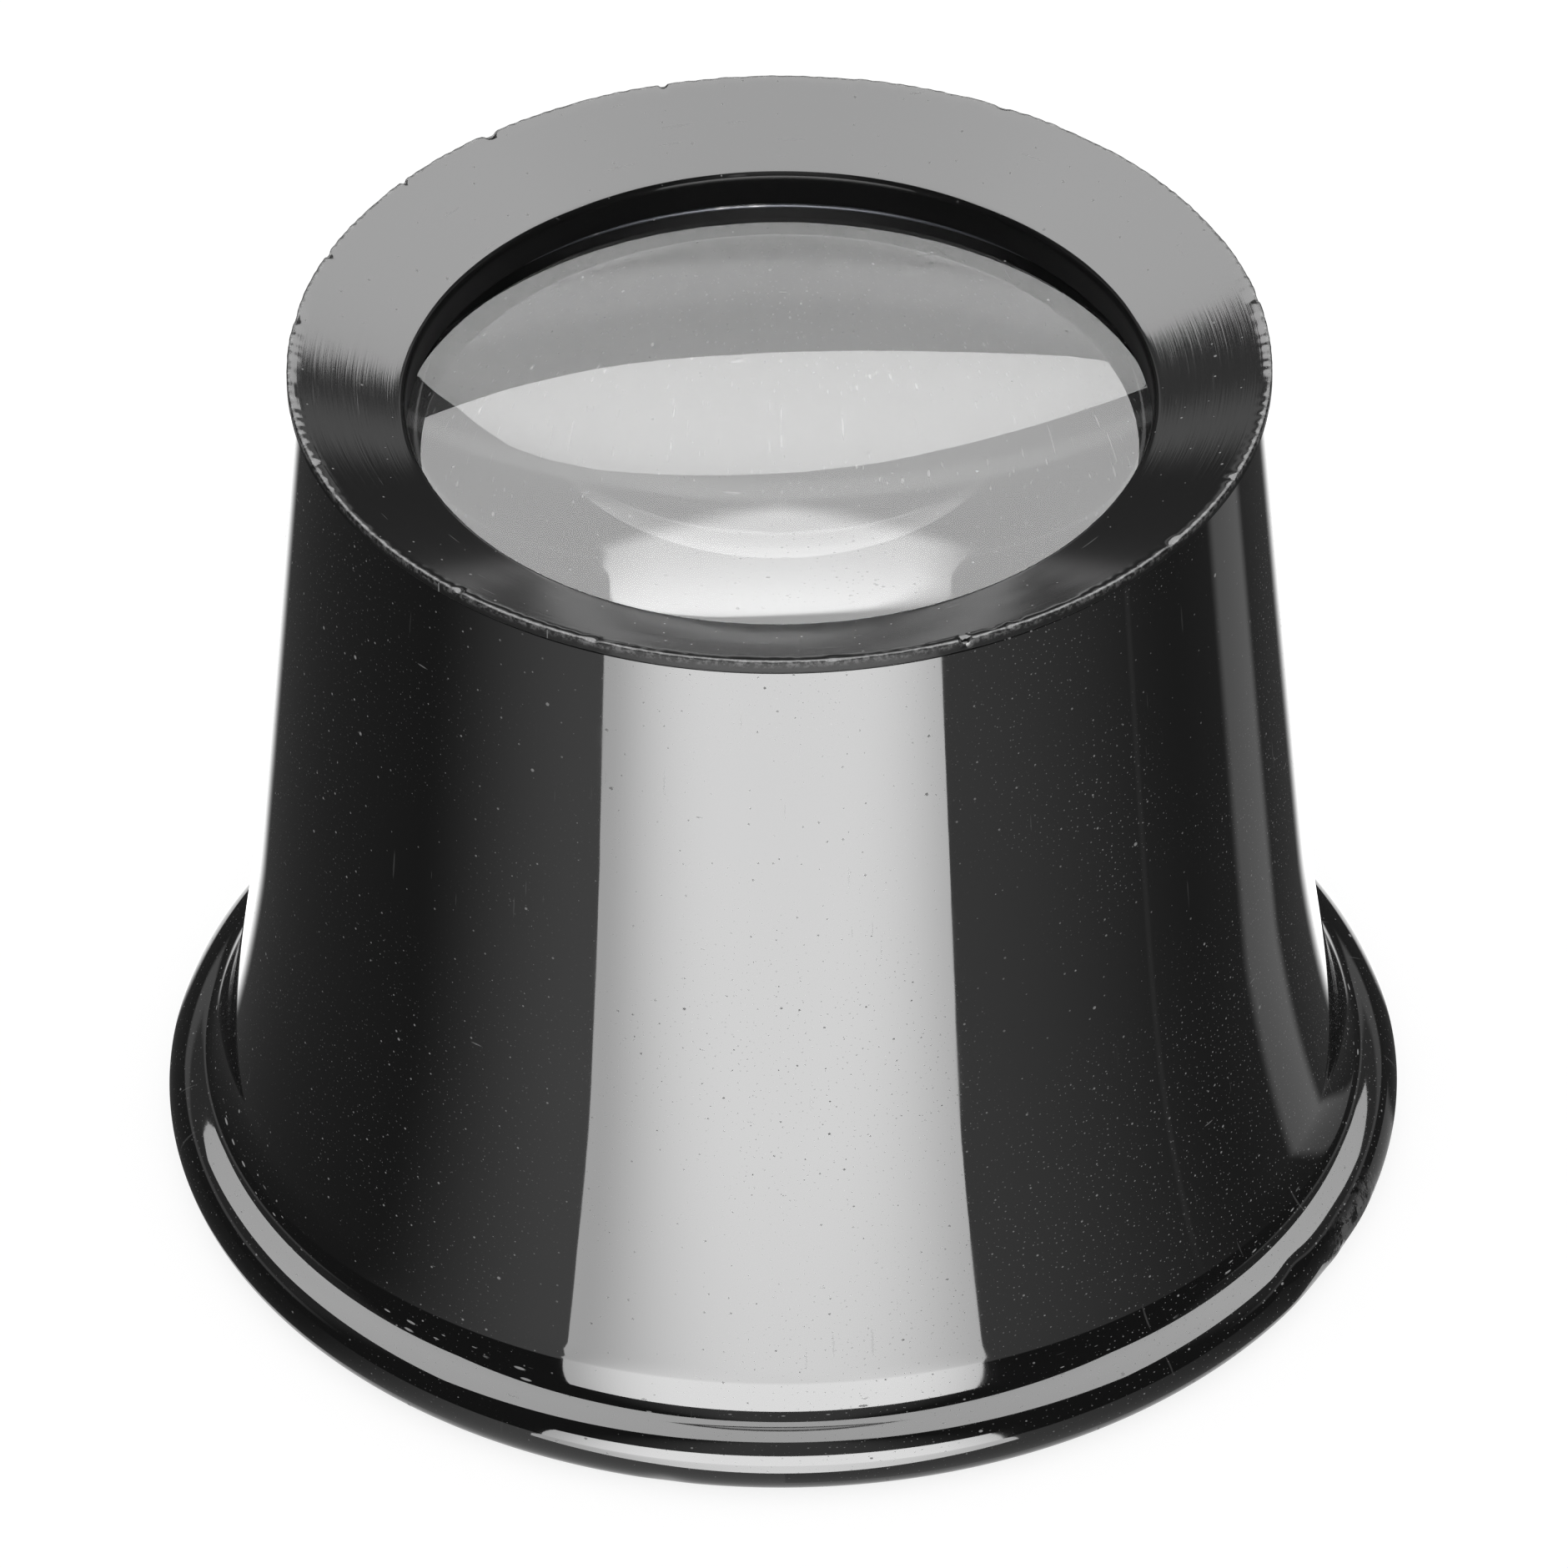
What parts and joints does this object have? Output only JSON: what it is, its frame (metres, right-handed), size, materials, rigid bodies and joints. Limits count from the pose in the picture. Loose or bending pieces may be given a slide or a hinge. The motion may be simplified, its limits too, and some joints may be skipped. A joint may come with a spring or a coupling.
{
  "type": "watchmaker's eye loupe",
  "caption": "Flared eyecup that stands on its rolled rim, with a dished bezel that screws into the neck and a biconvex lens held in it by a split ring.",
  "frame": {"origin": "centre of the eye rim, on the surface that the loupe stands on", "axes": "+Z along the optical axis, from the eye rim to the bezel; the part is round, so +X is free, and the split of the retaining ring faces -Y"},
  "size_m": [0.036, 0.036, 0.0268],
  "materials": {
    "eyecup_plastic": "polished black moulding with dust and hairline scratches",
    "bezel_plastic": "black moulding, dish turned with fine rings and worn at the edge",
    "lens_glass": "clear polished glass",
    "ring_steel": "blued spring wire"
  },
  "bodies": {
    "eyecup": {"eyecup": "eyecup_plastic"},
    "lens": {"lens": "lens_glass"},
    "bezel": {"bezel": "bezel_plastic", "retaining_ring": "ring_steel"}
  },
  "joints": [
    {"name": "lens_rise", "type": "slide", "parent": "eyecup", "child": "lens", "axis": [0, 0, 1], "range_m": [0, 0.004]},
    {"name": "bezel_turn", "type": "hinge", "parent": "lens", "child": "bezel", "pos_m": [0, 0, 0], "axis": [0, 0, 1], "range_deg": [0, 1440]}
  ],
  "couplings": [
    {"joint": "lens_rise", "follows": "bezel_turn", "m_per_rad": 0.00015915}
  ]
}
